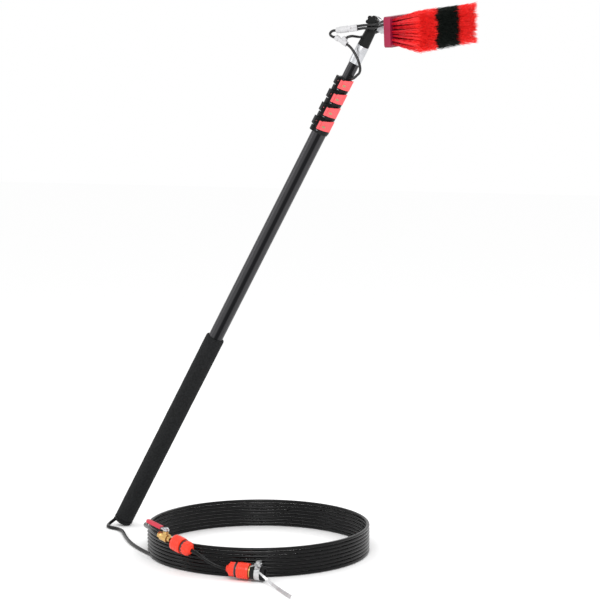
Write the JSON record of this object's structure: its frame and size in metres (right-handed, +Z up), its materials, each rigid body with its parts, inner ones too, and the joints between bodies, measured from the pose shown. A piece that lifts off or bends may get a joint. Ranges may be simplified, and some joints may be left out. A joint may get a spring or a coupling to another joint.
{
  "type": "window cleaning pole system",
  "caption": "Leaning telescopic water-fed cleaning pole with lever clamps, foam grip, tilting jet brush, coiled hose, shut-off valve and tap adapter.",
  "frame": {"origin": "the point where the foot's rounded edge touches the floor, at z = 0", "axes": "+Z up; the pole leans towards +X in the XZ plane; the brush lies along Y with its bristles towards +X"},
  "size_m": [0.8776, 0.6583, 1.2626],
  "materials": {
    "pole_metal": "satin",
    "black_plastic": "satin",
    "glide_plastic": "matte",
    "coral_plastic": "satin",
    "steel": "satin",
    "foam": "matte",
    "black_rubber": "matte",
    "pole_hose": "gloss",
    "bright_sleeve": "satin",
    "grey_plastic": "satin",
    "block_plastic": "satin",
    "red_filament": "satin",
    "black_filament": "satin",
    "jet_hose": "satin",
    "white_plastic": "gloss",
    "brass": "satin",
    "red_vinyl": "gloss",
    "orange_plastic": "satin",
    "core_plastic": "satin",
    "zinc_steel": "satin"
  },
  "bodies": {
    "base": {"section_1": "pole_metal", "foam_grip": "foam", "foot_cap": "black_rubber", "hose_gland": "black_plastic", "inner_hose": "pole_hose", "clamp_collar_1": "black_plastic", "clamp_fasteners_1": "steel", "pole_hose_run": "pole_hose", "pole_hose_coil": "pole_hose", "pole_hose_tail": "pole_hose", "valve_body": "brass", "upper_core": "core_plastic", "upper_nut": "orange_plastic", "link_hose": "pole_hose", "lower_nut": "orange_plastic", "lower_core": "core_plastic", "tap_nipple": "brass", "tap_socket": "black_rubber", "hose_clamp": "zinc_steel"},
    "middle_2": {"section_2": "pole_metal", "glide_bush_2": "glide_plastic", "clamp_collar_2": "black_plastic", "clamp_fasteners_2": "steel"},
    "middle_3": {"section_3": "pole_metal", "glide_bush_3": "glide_plastic", "clamp_collar_3": "black_plastic", "clamp_fasteners_3": "steel"},
    "middle_4": {"section_4": "pole_metal", "glide_bush_4": "glide_plastic", "clamp_collar_4": "black_plastic", "clamp_fasteners_4": "steel"},
    "top_5": {"section_5": "pole_metal", "glide_bush_5": "glide_plastic", "neck_sleeve": "bright_sleeve", "neck_fork": "black_plastic", "hose_grommet": "black_rubber", "feed_hoses": "jet_hose", "hose_splitter": "white_plastic", "hose_coupling": "white_plastic"},
    "lever_1": {"clamp_lever_1": "coral_plastic"},
    "lever_2": {"clamp_lever_2": "coral_plastic"},
    "lever_3": {"clamp_lever_3": "coral_plastic"},
    "lever_4": {"clamp_lever_4": "coral_plastic"},
    "knob": {"tilt_knob": "black_plastic", "pivot_bolt": "steel"},
    "head": {"head_arm": "grey_plastic", "arm_tube": "pole_metal", "brush_block": "block_plastic", "bristles_near": "red_filament", "bristles_middle": "black_filament", "bristles_far": "red_filament", "jet_barbs": "black_plastic", "block_screws": "steel", "jet_hoses": "jet_hose"},
    "valve_handle": {"valve_spindle": "steel", "valve_lever": "steel", "lever_sleeve": "red_vinyl"},
    "upper_release": {"upper_collar": "orange_plastic"},
    "lower_release": {"lower_collar": "orange_plastic"},
    "clamp_screw": {"wing_screw": "zinc_steel"}
  },
  "joints": [
    {"name": "slide_2", "type": "slide", "parent": "base", "child": "middle_2", "axis": [0.4848, 0, 0.8746], "range_m": [0, 0.95]},
    {"name": "slide_3", "type": "slide", "parent": "middle_2", "child": "middle_3", "axis": [0.4848, 0, 0.8746], "range_m": [0, 0.95]},
    {"name": "slide_4", "type": "slide", "parent": "middle_3", "child": "middle_4", "axis": [0.4848, 0, 0.8746], "range_m": [0, 0.95]},
    {"name": "slide_5", "type": "slide", "parent": "middle_4", "child": "top_5", "axis": [0.4848, 0, 0.8746], "range_m": [0, 0.95]},
    {"name": "lever_1_flip", "type": "hinge", "parent": "base", "child": "lever_1", "pos_m": [0.52692, -0.02408, 0.98567], "axis": [-0.4848, 0, -0.8746], "range_deg": [0, 100]},
    {"name": "lever_2_flip", "type": "hinge", "parent": "middle_2", "child": "lever_2", "pos_m": [0.54385, -0.02284, 1.01631], "axis": [-0.4848, 0, -0.8746], "range_deg": [0, 100]},
    {"name": "lever_3_flip", "type": "hinge", "parent": "middle_3", "child": "lever_3", "pos_m": [0.56078, -0.02159, 1.04694], "axis": [-0.4848, 0, -0.8746], "range_deg": [0, 100]},
    {"name": "lever_4_flip", "type": "hinge", "parent": "middle_4", "child": "lever_4", "pos_m": [0.57771, -0.02034, 1.07757], "axis": [-0.4848, 0, -0.8746], "range_deg": [0, 100]},
    {"name": "head_tilt", "type": "hinge", "parent": "top_5", "child": "head", "pos_m": [0.65427, 0, 1.21715], "axis": [0, 1, 0], "range_deg": [-60, 15], "deforming": ["jet_hoses"]},
    {"name": "knob_turn", "type": "hinge", "parent": "top_5", "child": "knob", "pos_m": [0.65427, 0, 1.21715], "axis": [0, -1, 0], "continuous": true},
    {"name": "valve_turn", "type": "hinge", "parent": "base", "child": "valve_handle", "pos_m": [0.30151, -0.35616, 0.07535], "axis": [0.2183, -0.0544, 0.9744], "range_deg": [0, 90]},
    {"name": "upper_collar_pull", "type": "slide", "parent": "base", "child": "upper_release", "axis": [0.9454, -0.2357, -0.225], "range_m": [0, 0.0035], "stiffness_N_per_m": 800, "springref_m": -0.003},
    {"name": "lower_collar_pull", "type": "slide", "parent": "base", "child": "lower_release", "axis": [-0.9884, -0.1389, 0.061], "range_m": [0, 0.0035], "stiffness_N_per_m": 800, "springref_m": -0.003},
    {"name": "wing_screw_turn", "type": "hinge", "parent": "base", "child": "clamp_screw", "pos_m": [0.53551, -0.35767, 0.042], "axis": [-0.1392, 0.9903, 0], "continuous": true}
  ]
}
